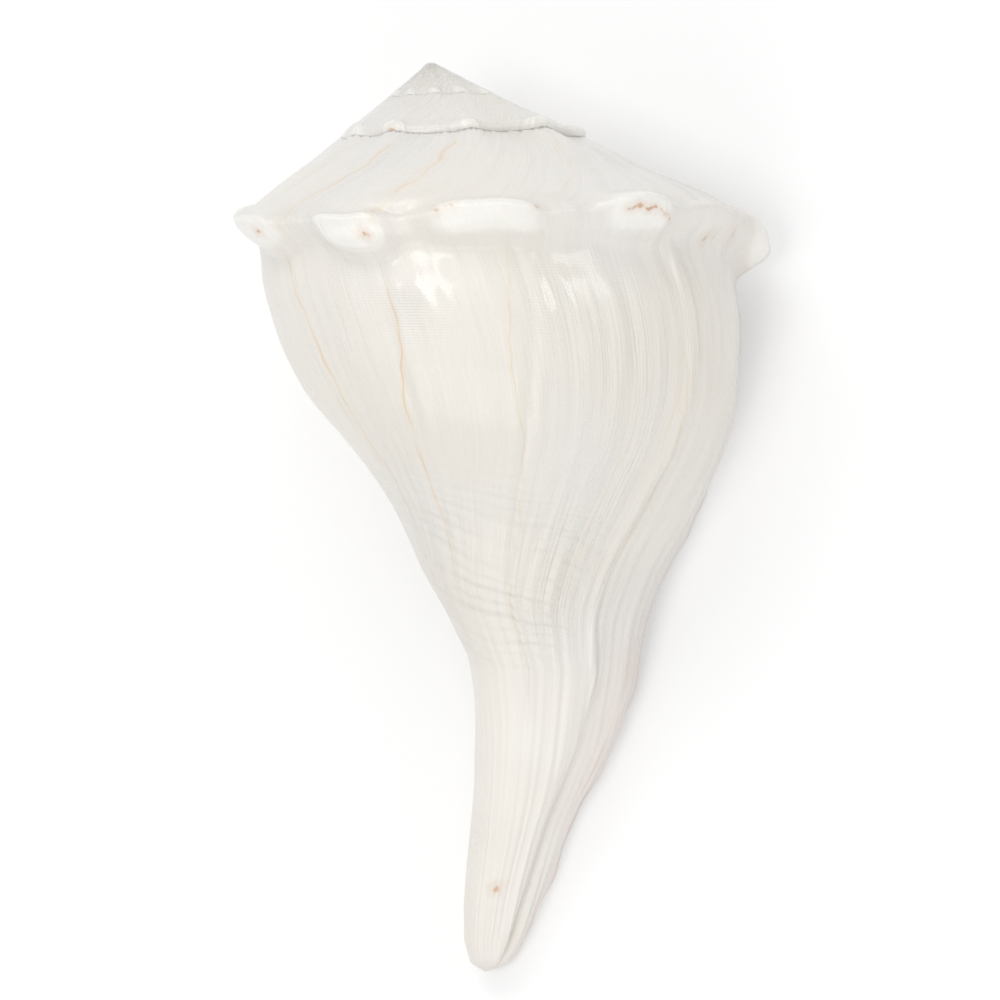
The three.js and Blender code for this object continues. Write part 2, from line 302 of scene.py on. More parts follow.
@dataclass(frozen=True)
class Relief:
    """Everything that stands on the plain surface: keel, knobs, former lips and wrinkles.

    Args:
        form: the plain surface.
        knobs: knobs of the keel, from the lip towards the apex.
        full_knob: height at which a knob has its full width, in mm.
        spire_spacing: degrees between the knobs of the oldest whorls.
        spire_knob: height of those knobs, in mm.
        spire_wear: how far the oldest ramps are worn to a cone.
        weld_reach: profile steps over which a ramp is drawn onto the whorl before it.
        back_drop: how far the keel sinks on the back, in mm.
        ridges: former lips.
    """

    form: GrowthForm
    knobs: tuple[Knob, ...] = (
        Knob(2.5, 9, 4.1, 1.8, 2.3), Knob(-24, 7, 1.2), Knob(-49, 9, 3.6, 1.9, -0.2),
        Knob(-66, 6, 1.4, 1.0, 1.2), Knob(-83, 13, 3.4, 2.4, -0.7),
        Knob(-115, 9.5, 4.4, 2.2, 2.6), Knob(-150, 12, 4.2, 1.8, 2.2),
        Knob(-190, 12, 4.2), Knob(-228, 12, 4.0), Knob(-264, 12, 4.2), Knob(-300, 12, 4.0),
        Knob(-334, 11, 4.2), Knob(-368, 10, 3.6), Knob(-399, 9, 4.6), Knob(-435, 6, 3.6),
        Knob(-474, 8, 4.8), Knob(-505, 7, 4.2), Knob(-540, 10, 4.2), Knob(-576, 10, 4.2),
        Knob(-610, 10, 4.2), Knob(-645, 10, 4.2), Knob(-680, 10, 4.2),
    )
    full_knob: float = 4.4
    spire_spacing: float = 30.0
    spire_knob: float = 4.0
    spire_wear: float = 0.8
    weld_reach: float = 2.4
    back_drop: float = 3.4
    ridges: tuple[Ridge, ...] = (
        Ridge(-38.5, 1.7, 1.5, 8.2, 18.0, 1.6, 0.4), Ridge(-34.0, 1.2, 0.55, 9.0, 17.5, 1.8, 1.0),
        Ridge(-29.5, 1.3, 0.45, 8.5, 19.0, 1.4, 2.1), Ridge(-46.5, 1.0, 0.45, 9.5, 16.5, 1.5, 1.4),
        Ridge(-24.0, 1.8, -0.45, 8.5, 20.0, 1.4, 0.3), Ridge(-18.0, 1.5, 0.4, 8.0, 21.0, 1.3, 1.7),
        Ridge(-12.0, 1.6, 0.5, 8.0, 22.0, 1.2, 2.6), Ridge(-6.0, 1.2, -0.4, 8.0, 22.0, 1.0, 0.2),
        Ridge(-81.5, 1.0, -0.40, 8.0, 18.5, 3.2, 0.9), Ridge(-79.0, 1.3, 0.35, 8.0, 18.0, 3.2, 0.9),
        Ridge(-113.5, 1.0, -0.30, 8.0, 16.0, 1.6, 1.9), Ridge(-111, 1.4, 0.30, 8.0, 15.5, 1.6, 1.9),
        Ridge(-144.0, 1.0, -0.30, 8.0, 15.5, 3.0, 3.2), Ridge(-141, 1.5, 0.32, 8.0, 15.5, 3.0, 3.2),
        Ridge(-60.0, 1.4, 0.30, 8.5, 16.0, 2.2, 0.7), Ridge(-56.0, 1.2, -0.3, 9.0, 16.5, 2.2, 1.1),
    )

    def knob_height(self, angle: np.ndarray) -> np.ndarray:
        """Adds up the knobs along the keel.

        Args:
            angle: growth angles in radians.

        Returns:
            Heights in mm on a full-size whorl.
        """
        degrees = np.degrees(angle)
        height = np.zeros_like(degrees)
        for knob in self.knobs:
            bell = np.exp(-np.abs((degrees - knob.angle) / knob.half_width) ** (2 * knob.crispness))
            height = np.maximum(height, knob.height * bell)
        nearest = np.round(degrees / self.spire_spacing) * self.spire_spacing
        spire = self.spire_knob * bump_curve(degrees - nearest, 0, 9)
        return np.where(degrees < -700, spire, height)

    def keel(self, angle: np.ndarray, step: np.ndarray) -> tuple[np.ndarray, np.ndarray]:
        """Shapes the keel, whose knobs are flatter and wider than the ridge between them.

        Args:
            angle: growth angles in radians.
            step: places along the profile.

        Returns:
            Share of the keel's height at each point, and the knobs' height there.
        """
        steps, lengths = self.form.arc()
        along = np.interp(step, steps, lengths)
        crest = np.interp(self.form.shoulder_step, steps, lengths)
        knob = self.knob_height(angle)
        full = knob / self.full_knob
        degrees = np.degrees(angle)
        drop = 0.9 + self.back_drop * bump_curve(degrees, -95, 62)
        for one in self.knobs:
            drop = drop + one.drop * bump_curve(degrees, one.angle, one.half_width)
        uneven = 0.4 * np.sin(degrees * 0.31) + 0.3 * np.sin(degrees * 0.73 + 1.0)
        drop = (drop + uneven * (1 - full)) * smooth_step(-410, -345, degrees)
        below = along - crest - drop
        lip = smooth_step(-28, -4, degrees)
        under = 4.0 + 2.3 * full + 1.0 * lip
        over = 3.0 + 2.6 * full + 1.2 * lip
        width = np.where(below > 0, under, over)
        edge = np.where(below > 0, 3.0, 3.8) + 1.3 * full + 0.5 * np.sin(degrees * 0.4)
        share = np.exp(-np.abs(below / width) ** edge)
        # The knob at the lip is cut off on a slant.
        share = share * (1 + 0.07 * np.clip(below, -6, 6) * lip)
        return np.where(np.abs(below) < 4 * width, share, 0.0), knob

    def fine(self, angle: np.ndarray, step: np.ndarray) -> np.ndarray:
        """Adds up former lips, growth waves, the canal's groove and the lip's teeth.

        Args:
            angle: growth angles in radians.
            step: places along the profile.

        Returns:
            Heights in mm.
        """
        degrees = np.degrees(self.form.age(angle, step))
        height = np.zeros(np.broadcast(angle, step).shape)
        for ridge in self.ridges:
            place = ridge.angle + ridge.wander * np.sin(step * 0.72 + ridge.phase)
            reach = smooth_step(ridge.start - 1, ridge.start + 1, step)
            reach = reach * smooth_step(ridge.end + 1, ridge.end - 1, step)
            height = height + ridge.height * reach * bump_curve(degrees, place, ridge.half_width)
        size = self.form.growth(angle)
        near_lip = smooth_step(-75, -10, degrees)
        wobble = 1.1 * np.sin(step * 0.9) + 0.7 * np.sin(step * 1.9 + degrees * 0.05)
        waves = np.sin((degrees + wobble) * 1.15) * 0.13 + np.sin((degrees + wobble) * 0.71) * 0.20
        near_lip = near_lip + 0.6 * bump_curve(degrees, -60, 14)
        free = smooth_step(0.4, 2.0, step) * smooth_step(25.6, 23.0, step)
        height = height + waves * free * (0.35 + 0.65 * near_lip) * size
        # Low dents and swellings of the whole surface.
        dents = 0.35 * np.sin(degrees * 0.067 + step * 0.55) * np.sin(step * 0.43 + 1.1)
        height = height + dents * free * size
        # Groove along the canal and the flange beyond it.
        canal = smooth_step(16.0, 18.5, step) * smooth_step(25.8, 23.5, step)
        line = -34.0 - 2.6 * (step - 17.5)
        height = height - 1.5 * canal * bump_curve(degrees, line + 4, 7.0)
        height = height + 0.8 * canal * bump_curve(degrees, line - 13, 9.0)
        flange = np.sin(step * 2.6) * 0.35 + np.sin(step * 5.1 + 0.6) * 0.22
        height = height + flange * canal * smooth_step(-24, 0, degrees)
        # Teeth along the lip where the spiral cords meet it.
        cords = np.sin(step * 9.0) * 0.14 * smooth_step(-7, 0, degrees)
        height = height + cords * smooth_step(8.0, 9.0, step) * smooth_step(16.0, 14.0, step)
        return height

    def outer(self, angle: np.ndarray, step: np.ndarray) -> np.ndarray:
        """Follows the finished outer surface.

        Args:
            angle: growth angles in radians.
            step: places along the profile.

        Returns:
            Points in the growth axes, in mm.
        """
        angle, step = np.broadcast_arrays(np.asarray(angle, float), np.asarray(step, float))
        point = self.raised(angle, step) + self.weld(angle, step)
        suture = np.full(step.shape, self.form.suture_step)
        before, end = self.raised(angle - TURN, suture), self.raised(angle, suture)
        # The ramps of the oldest whorls are worn to a plain cone.
        share = np.clip(step / self.form.suture_step, 0, 1)[..., None]
        ramp = (angle > self.form.first_turn_end) & (step <= self.form.suture_step)
        worn = (self.spire_wear * smooth_step(-400, -620, np.degrees(angle)) * ramp)[..., None]
        return point + worn * (before + (end - before) * share - point)

    def weld(self, angle: np.ndarray, step: np.ndarray) -> np.ndarray:
        """Brings a ramp's start onto the whorl before it.

        Args:
            angle: growth angles in radians.
            step: places along the profile.

        Returns:
            Shift of each point, in mm.
        """
        share = (1 - smooth_step(0, self.weld_reach, step)) * (angle > self.form.first_turn_end)
        before = self.raised(angle - TURN, np.full(step.shape, self.form.suture_step))
        start = self.raised(angle, np.zeros(step.shape))
        return share[..., None] * (before - start)

    def raised(self, angle: np.ndarray, step: np.ndarray) -> np.ndarray:
        """Adds the relief to the plain surface, before the whorls are welded.

        Args:
            angle: growth angles in radians.
            step: places along the profile.

        Returns:
            Points in the growth axes, in mm.
        """
        point = self.form.smooth(angle, step)
        size = self.form.growth(angle)
        share, knob = self.keel(angle, step)
        turned = np.arctan2(-point[..., 2], point[..., 0])
        spire = 0.12 + 0.88 * smooth_step(-420, -345, np.degrees(angle))
        knob = knob * (0.75 + 0.25 * spire)
        out = share * size * (self.form.keel_height * spire + knob)
        # The knobs' ends are cut a little flat and their undersides are steeper.
        degrees = np.degrees(angle)
        lift = 0.14 + 0.10 * smooth_step(2.5, 4.2, knob) + 0.35 * smooth_step(-375, -395, degrees)
        lift = lift * smooth_step(-4, -30, degrees)
        point = point + np.stack(
            [out * np.cos(turned), out * lift, -out * np.sin(turned)], axis=-1
        )
        height = self.fine(angle, step)
        return point + self.form.normal(angle, step) * height[..., None]


@dataclass(frozen=True)
class Hollow:
    """The space inside the last turn and a fifth.

    Args:
        form: plain surface that the wall follows.
        relief: finished outer surface, which the pillar side of the hollow shares.
        lip_thickness: wall at the lip, in mm.
        wall_thickness: wall of the body, in mm.
        thickening_angle: how far back from the lip the wall is full.
        trough: where the hollow's floor ends near the lip, as (degrees back, depth).
        depth_factor: where it ends further back, on a full-size whorl, in mm.
        reach: how far back the hollow goes.
    """

    form: GrowthForm
    relief: Relief
    lip_thickness: float = 1.5
    wall_thickness: float = 3.2
    thickening_angle: float = math.radians(35)
    trough: tuple[tuple[float, float], ...] = (
        (0, 200.4), (15, 196), (35, 190), (55, 176), (75, 150), (95, 125), (110, 117.7),
    )
    depth_factor: float = 148.0
    reach: float = math.radians(432)

    def thickness(self, angle: np.ndarray, step: np.ndarray) -> np.ndarray:
        """Thins the wall towards the lip and the tip.

        Args:
            angle: growth angles in radians.
            step: places along the profile.

        Returns:
            Thickness in mm.
        """
        body = self.wall_thickness * np.sqrt(self.form.growth(angle))
        edge = smooth_step(0, self.thickening_angle, -angle)
        near_suture = edge + (1 - edge) * smooth_step(0, 1, step)
        near_tip = smooth_step(self.form.tip_step, self.form.tip_step - 3, step)
        lip = self.lip_thickness
        return (lip + (body - lip) * edge) * near_suture * near_tip

    def inner(self, angle: np.ndarray, step: np.ndarray) -> np.ndarray:
        """Follows the wall's inner face.

        Args:
            angle: growth angles in radians.
            step: places along the profile.

        Returns:
            Points in the growth axes, in mm.
        """
        point = self.form.smooth(angle, step) + self.relief.weld(angle, step)
        lining = 0.12 * np.sin(step * 9.0) * smooth_step(7.5, 9.0, step)
        lining = lining * smooth_step(17.0, 15.0, step) * smooth_step(-70, -10, np.degrees(angle))
        depth = self.thickness(angle, step) * (1 + 0.5 * lining)
        return point - self.form.normal(angle, step) * depth[..., None]

    def floor(self, angle: np.ndarray) -> np.ndarray:
        """Finds how deep the hollow goes.

        Args:
            angle: growth angles in radians.

        Returns:
            Distances below the apex, in mm.
        """
        table = np.array(self.trough)
        back = -np.degrees(angle)
        near = np.interp(back, table[:, 0], table[:, 1])
        return np.where(back < 110, near, self.depth_factor * self.form.growth(angle))

    def step_at(
        self, face: Callable[[np.ndarray, np.ndarray], np.ndarray], angle: np.ndarray,
        depth: np.ndarray,
    ) -> np.ndarray:
        """Searches for the profile step at which a face reaches a depth.

        Args:
            face: formula of the face.
            angle: growth angles in radians.
            depth: distance below the apex, in mm.

        Returns:
            Profile step for each angle.
        """
        low = np.full(angle.shape, self.form.suture_step)
        high = np.full(angle.shape, self.form.tip_step)
        for _ in range(30):
            middle = (low + high) / 2
            above = -face(angle, middle)[..., 1] < depth
            low = np.where(above, middle, low)
            high = np.where(above, high, middle)
        return (low + high) / 2


@dataclass(frozen=True)
class RestPose:
    """How the shell lies: rolled about its long axis, then pitched, on the floor.

    Args:
        roll: turn about the long axis, in radians.
        pitch: lift of the apex end, in radians.
    """

    roll: float = math.radians(15.3)
    pitch: float = math.radians(12.1)

    @property
    def matrix(self) -> Matrix:
        """Rotation from the growth axes to the shell's place on the floor."""
        return Matrix.Rotation(self.pitch, 3, "X") @ Matrix.Rotation(self.roll, 3, "Y")


@dataclass
class SheetMesh:
    """One rectangular stretch of surface, made from a grid and shaped by a formula.

    Args:
        name: object name.
        points: rows by columns by 3, in mm.
        zones: values of each surface attribute, rows by columns.
    """

    name: str
    points: np.ndarray
    zones: dict[Zone, np.ndarray]

    def build(self) -> bpy.types.Object:
        """Adds the grid and moves its corners onto the surface.

        Returns:
            The stretch of surface as an object.
        """
        rows, columns = self.points.shape[:2]
        bpy.ops.object.select_all(action="DESELECT")
        bpy.ops.mesh.primitive_grid_add(
            x_subdivisions=columns - 1, y_subdivisions=rows - 1, size=1, calc_uvs=True
        )
        made = bpy.context.object
        made.name = self.name
        mesh = made.data
        mesh.vertices.foreach_set("co", (self.points * MM).reshape(-1).astype(np.float32))
        for zone, values in self.zones.items():
            layer = mesh.attributes.new(zone.value, "FLOAT", "POINT")
            layer.data.foreach_set("value", values.reshape(-1).astype(np.float32))
        mesh.update()
        return made


class Socket:
    """A shader output or a plain number that can be used in Python sums.

    Args:
        graph: graph that it belongs to.
        value: output socket or number.
    """

    def __init__(self, graph: ShaderGraph, value: bpy.types.NodeSocket | float) -> None:
        """Keeps the graph and the value."""
        self.graph = graph
        self.value = value

    def _math(self, kind: str, *others: Socket | float) -> Socket:
        """Returns the result of one Math node."""
        return self.graph.math(kind, self, *others)

    def __add__(self, other: Socket | float) -> Socket:
        """Sum."""
        return self._math("ADD", other)

    __radd__ = __add__

    def __mul__(self, other: Socket | float) -> Socket:
        """Product."""
        return self._math("MULTIPLY", other)

    __rmul__ = __mul__

    def __sub__(self, other: Socket | float) -> Socket:
        """Difference."""
        return self._math("SUBTRACT", other)

    def __rsub__(self, other: float) -> Socket:
        """Difference from a number."""
        return self.graph.math("SUBTRACT", other, self)

    def __truediv__(self, other: Socket | float) -> Socket:
        """Quotient."""
        return self._math("DIVIDE", other)

    def __pow__(self, other: float) -> Socket:
        """Power."""
        return self._math("POWER", other)

    def absolute(self) -> Socket:
        """Size without sign."""
        return self._math("ABSOLUTE")

    def sine(self) -> Socket:
        """Sine."""
        return self._math("SINE")

    def clamp(self) -> Socket:
        """Kept between 0 and 1."""
        return self.graph.math("ADD", self, 0.0, clamp=True)

    def rise(self, start: float, end: float) -> Socket:
        """Smooth rise from 0 at start to 1 at end."""
        return self.graph.node(
            "ShaderNodeMapRange",
            {"interpolation_type": "SMOOTHSTEP"},
            {"Value": self, "From Min": start, "From Max": end},
        )

    def bell(self, centre: Socket | float, half_width: float) -> Socket:
        """Soft spot that is 1 at centre and 0 beyond the half width."""
        return ((self - centre).absolute()).rise(half_width, 0.0)


class ShaderGraph:
    """A material's node tree, written as expressions.

    Args:
        material: material to fill.
    """

    def __init__(self, material: bpy.types.Material) -> None:
        """Empties the material's node tree."""
        material.use_nodes = True
        self.tree = material.node_tree
        self.tree.nodes.clear()

    def node(
        self, kind: str, settings: dict[str, object], inputs: dict[str | int, object],
        output: str | int = 0,
    ) -> Socket:
        """Adds one node.

        Args:
            kind: node type.
            settings: properties to set.
            inputs: socket values or links, by name or number.
            output: which output to return.

        Returns:
            The chosen output.
        """
        made = self.tree.nodes.new(kind)
        for name, setting in settings.items():
            setattr(made, name, setting)
        for name, value in inputs.items():
            socket = made.inputs[name]
            held = value.value if isinstance(value, Socket) else value
            if isinstance(held, bpy.types.NodeSocket):
                self.tree.links.new(held, socket)
            else:
                socket.default_value = held
        return Socket(self, made.outputs[output] if len(made.outputs) else 0.0)

    def math(self, kind: str, *values: Socket | float, clamp: bool = False) -> Socket:
        """Returns the result of one Math node."""
        return self.node(
            "ShaderNodeMath",
            {"operation": kind, "use_clamp": clamp},
            {index: value for index, value in enumerate(values)},
        )

    def attribute(self, zone: Zone) -> Socket:
        """Returns a surface attribute as a number."""
        return self.node("ShaderNodeAttribute", {"attribute_name": zone.value}, {}, "Fac")

    def vector(self, x: Socket | float, y: Socket | float, z: Socket | float = 0.0) -> Socket:
        """Returns a vector."""
        return self.node("ShaderNodeCombineXYZ", {}, {"X": x, "Y": y, "Z": z})

    def noise(
        self, vector: Socket, scale: float, detail: float = 3.0, roughness: float = 0.5
    ) -> Socket:
        """Returns noise between about 0 and 1."""
        return self.node(
            "ShaderNodeTexNoise",
            {"noise_dimensions": "3D"},
            {"Vector": vector, "Scale": scale, "Detail": detail, "Roughness": roughness},
            "Fac",
        )

    def mix(self, factor: Socket | float, first: object, second: object) -> Socket:
        """Returns a blend of two colours."""
        return self.node(
            "ShaderNodeMix",
            {"data_type": "RGBA", "clamp_factor": True},
            {0: factor, 6: first, 7: second},
            2,
        )


@dataclass(frozen=True)
class Seam:
    """A thin stained line where the shell once stopped growing.

    Args:
        angle: growth angle in degrees.
        start: first length along the lip, in mm.
        end: last length along the lip, in mm.
        strength: how dark the stain is.
        shift: how far its end lies beyond its start, in degrees.
        bend: how far it bows out, in degrees.
        bend_place: where it bows out most, as a share of its length.
        half_width: half width in degrees.
    """

    angle: float
    start: float
    end: float
    strength: float
    shift: float = 0.0
    bend: float = 1.5
    bend_place: float = 0.5
    half_width: float = 0.44


@dataclass(frozen=True)
class Stain:
    """A small worn or stained spot.

    Args:
        angle: growth angle in degrees.
        along: length along the lip, in mm.
        radius: radius in mm.
        strength: how dark it is.
    """

    angle: float
    along: float
    radius: float
    strength: float


@dataclass(frozen=True)
class Signals:
    """What the finish knows of each point of the surface.

    Args:
        angle: growth angle in degrees.
        along: length along the lip, in mm.
        inside: 1 on the glazed inside.
        outside: 1 on the outside.
        tip: 1 on the worn tip of the canal.
        knob: height of the knobs, in mm.
        place: position on the piece.
        soft: broad noise.
        drift: middling noise.
        grain: fine noise.
        lines: wide growth lines.
        fine: narrow growth lines.
    """

    angle: Socket
    along: Socket
    inside: Socket
    outside: Socket
    tip: Socket
    knob: Socket
    place: Socket
    soft: Socket
    drift: Socket
    grain: Socket
    lines: Socket
    fine: Socket


@dataclass(frozen=True)
class ShellFinish:
    """Bleached shell: creamy white, satin to glossy, with stained seams and fine threads; a rose
    tint also paints shade on the lip side.
    """

    cream: tuple[float, ...] = (0.812, 0.778, 0.712, 1)
    chalk: tuple[float, ...] = (0.805, 0.782, 0.748, 1)
    warm: tuple[float, ...] = (0.785, 0.722, 0.630, 1)
    pale: tuple[float, ...] = (0.915, 0.895, 0.845, 1)
    seam: tuple[float, ...] = (0.780, 0.560, 0.310, 1)
    pit: tuple[float, ...] = (0.600, 0.350, 0.190, 1)
    # Rose: the shell's own tint at the worn tip of the canal, and also painted shade on the lip
    # side and the canal's flange.
    rose_tint_and_painted_shade: tuple[float, ...] = (0.770, 0.670, 0.620, 1)
    inside: tuple[float, ...] = (0.810, 0.765, 0.700, 1)
    thread_spacing: float = 0.78
    bump_strength: float = 0.8
    refraction: float = 1.53
    coat_roughness: float = 0.12
    seams: tuple[Seam, ...] = (
        Seam(-146.0, 47, 118, 0.56, 8.0, 1.0, 0.4), Seam(-112.0, 48, 128, 0.54, -1.0, -6.0, 0.66),
        Seam(-79.0, 47, 150, 0.26, -3.0, -6.5, 0.33), Seam(-42.0, 54, 150, 0.30, 11.0, -3.0, 0.8),
        Seam(-106.0, 5, 41, 0.34, -1.0, 1.0, 0.5, 1.5),
        Seam(-131.0, 7, 41, 0.34, -6.0, 1.0, 0.5, 1.3),
        Seam(-31.0, 48, 150, 0.20, 6.0, 2.0), Seam(-58.0, 55, 130, 0.14, 4.0, 2.0),
        Seam(-46.0, 58, 138, 0.16, 6.0, 2.0, 0.3),
        Seam(-172.0, 48, 110, 0.5, 5.0, 2.0), Seam(-232.0, 46, 120, 0.55, 4.0, -3.0),
        Seam(-281.0, 46, 120, 0.45, 3.0, 2.0), Seam(-318.0, 46, 105, 0.5, 4.0, 1.0),
        Seam(-64.0, 6, 40, 0.14, -2.0, 1.0, 0.5, 1.0),
    )
    stains: tuple[Stain, ...] = (
        Stain(-111.5, 47.0, 0.9, 0.70), Stain(-146.0, 44.5, 0.9, 0.6),
        Stain(-46.5, 41.5, 0.6, 0.60), Stain(-48.5, 42.1, 0.6, 0.70), Stain(-50.5, 41.3, 0.8, 0.60),
        Stain(-44.0, 42.6, 0.6, 0.55), Stain(-53.0, 42.0, 0.6, 0.45), Stain(-42.0, 43.4, 0.6, 0.5),
        Stain(-93.0, 192.0, 1.0, 0.55), Stain(-25.0, 45.6, 0.8, 0.5),
        Stain(-190.0, 43.0, 1.2, 0.6), Stain(-264.0, 43.0, 1.3, 0.6), Stain(-93.0, 40.4, 0.8, 0.40),
        Stain(-89.5, 39.8, 0.8, 0.34), Stain(-72.0, 40.4, 0.7, 0.25), Stain(-15.0, 43.6, 1.2, 0.34),
        Stain(-474.0, 41.0, 2.0, 0.5), Stain(-479.0, 42.5, 1.5, 0.44),
    )

    def build(self) -> bpy.types.Material:
        """Makes the material.

        Returns:
            The finished material.
        """
        material = bpy.data.materials.new("shell_surface")
        graph = ShaderGraph(material)
        see = self._signals(graph)
        stain = self._seams(graph, see)
        spots = self._spots(graph, see)
        worn = (see.knob + (see.drift - 0.5) * 1.6 + (see.grain - 0.5) * 0.5).rise(1.2, 3.0)
        face = worn * see.outside
        gloss = self._gloss(see)
        bump = graph.node(
            "ShaderNodeBump",
            {},
            {
                "Strength": self.bump_strength,
                "Distance": MM,
                "Height": self._height(graph, see, face, gloss),
            },
        )
        shader = graph.node(
            "ShaderNodeBsdfPrincipled",
            {},
            {
                "Base Color": self._colour(graph, see, face, stain, spots),
                "Roughness": 0.36 + see.drift * 0.10 + spots * 0.3 + see.tip * 0.25 - gloss * 0.10,
                "IOR": self.refraction,
                "Coat Weight": 0.30 + gloss * 0.55 - see.tip * 0.2,
                "Coat Roughness": self.coat_roughness,
                "Normal": bump,
            },
        )
        graph.node("ShaderNodeOutputMaterial", {}, {"Surface": shader})
        return material

    def _signals(self, graph: ShaderGraph) -> Signals:
        """Reads the surface attributes and adds the noises.

        Args:
            graph: the material's nodes.

        Returns:
            What the surface is like at each point.
        """
        angle = graph.attribute(Zone.GROWTH)
        along = graph.attribute(Zone.ALONG)
        inside = graph.attribute(Zone.INSIDE)
        place = graph.node("ShaderNodeTexCoord", {}, {}, "Object")
        # Growth lines are noise drawn out along the lip.
        wide = graph.vector(angle * 0.42, along * 0.010)
        narrow = graph.vector(angle * 1.7, along * 0.022)
        return Signals(
            angle=angle,
            along=along,
            inside=inside,
            outside=1.0 - inside,
            tip=graph.attribute(Zone.TIP),
            knob=graph.attribute(Zone.KNOB),
            place=place,
            soft=graph.noise(place, 22.0, 2.0),
            drift=graph.noise(place, 60.0, 3.0),
            grain=graph.noise(place, 620.0, 2.0),
            lines=graph.noise(wide, 1.0, 4.0, 0.62),
            fine=graph.noise(narrow, 1.0, 3.0, 0.6),
        )

    def _colour(
        self, graph: ShaderGraph, see: Signals, face: Socket, stain: Socket, spots: Socket
    ) -> Socket:
        """Mixes the colour.

        Args:
            graph: the material's nodes.
            see: what the surface is like at each point.
            face: 1 on the worn faces of the knobs.
            stain: how stained the seams are.
            spots: how stained the pits are.

        Returns:
            The base colour.
        """
        colour = graph.mix(see.soft.rise(0.35, 0.68), self.cream, self.chalk)
        colour = graph.mix(see.lines.rise(0.52, 0.74) * 0.45 * see.outside, colour, self.warm)
        colour = graph.mix(see.fine.rise(0.60, 0.80) * 0.22 * see.outside, colour, self.warm)
        # Painted shade: the body turns a darker rose over the last 30 degrees before the lip and on
        # the canal's flange beside it, where that side lies in shade. The patchy rose lower on the
        # canal is the shell's own tint.
        lip_shade_and_rose = see.angle.rise(-30.0, 0.0) * 0.22
        lip_shade_and_rose = lip_shade_and_rose + see.along.rise(135.0, 165.0) * see.drift.rise(0.35, 0.7) * 0.30
        lip_shade_and_rose = lip_shade_and_rose + see.along.rise(128.0, 145.0) * see.angle.rise(-34.0, -8.0) * 0.45
        colour = graph.mix(lip_shade_and_rose * see.outside, colour, self.rose_tint_and_painted_shade)
        colour = graph.mix(see.along.rise(132.0, 160.0) * see.outside * 0.24, colour, self.pale)
        colour = graph.mix(see.inside * 0.8, colour, self.inside)
        colour = graph.mix(face * 0.85, colour, self.pale)
        colour = graph.mix(stain * see.outside, colour, self.seam)
        colour = graph.mix(see.tip * see.drift.rise(0.3, 0.62) * 0.7, colour, self.rose_tint_and_painted_shade)
        return graph.mix(spots * see.outside, colour, self.pit)

    def _height(self, graph: ShaderGraph, see: Signals, face: Socket, gloss: Socket) -> Socket:
        """Adds up the relief that is too fine for the mesh.

        Args:
            graph: the material's nodes.
            see: what the surface is like at each point.
            face: 1 on the worn faces of the knobs.
            gloss: 1 where the surface is glossy.

        Returns:
            The height in mm.
        """
        height = self._threads(see) * (0.040 + gloss * 0.12) * see.outside
        folds = see.angle.bell(-58.0, 24.0) * see.along.rise(52.0, 70.0)
        folds = (folds + see.angle.bell(-128.0, 14.0) * 0.6) * see.along.rise(160.0, 130.0)
        calm = 1.0 - see.along.rise(128.0, 150.0) * 0.72
        grown = see.lines * 0.40 + see.fine * (0.20 + gloss * 0.12)
        height = height + grown * see.outside * (1.0 + folds * 0.75) * calm
        height = height + self._wrinkles(see) * see.outside * 0.15
        facets = (see.knob * 5.0 + see.drift * 6.0 + see.along * 0.8).sine() * face
        height = height + facets * 0.07 + see.soft * face * 0.5
        return height + graph.noise(see.place, 900.0, 2.0) * (0.012 + see.tip * 0.12)

    def _wrinkles(self, see: Signals) -> Socket:
        """Makes the slanted wrinkles where the body narrows into the canal.

        Args:
            see: what the surface is like at each point.

        Returns:
            Height of the wrinkles.
        """
        run = see.along - see.angle * 0.06 + (see.drift - 0.5) * 5.0 + (see.soft - 0.5) * 9.0
        wave = (run * (TURN / 2.3)).sine() * see.drift.rise(0.35, 0.6)
        wave = wave + (run * (TURN / 4.7)).sine() * 0.6
        reach = see.along.rise(100.0, 122.0) * see.along.rise(152.0, 130.0)
        sector = see.angle.rise(-230.0, -175.0) * see.angle.rise(-30.0, -62.0)
        lower = see.along.rise(140.0, 160.0) * see.along.rise(200.0, 185.0)
        lower = lower * see.angle.rise(-230.0, -190.0) * see.angle.rise(-120.0, -150.0)
        return wave * (reach * sector + lower * 0.6)

    def seam_field(self, angle: np.ndarray, along: np.ndarray) -> tuple[np.ndarray, np.ndarray]:
        """Returns how far each point lies from its nearest seam, and how stained that seam is.

        Args:
            angle: growth angle in degrees.
            along: length along the lip, in mm.

        Returns:
            Distance in half widths of the seam, with its sign, and strength.
        """
        best = np.full(angle.shape, 99.0)
        strength = np.zeros(angle.shape)
        for seam in self.seams:
            share = (along - seam.start) / (seam.end - seam.start)
            bow = seam.bend * smooth_step(0.42, 0.0, np.abs(share - seam.bend_place))
            away = (angle - seam.angle - seam.shift * share - bow) / seam.half_width
            reach = smooth_step(seam.start - 2, seam.start + 3, along)
            reach = reach * smooth_step(seam.end + 8, seam.end - 8, along)
            nearer = (np.abs(away) < np.abs(best)) & (reach > 0)
            best = np.where(nearer, away, best)
            strength = np.where(nearer, seam.strength * reach, strength)
        return np.clip(best, -9, 9), np.where(np.abs(best) < 8, strength, 0.0)

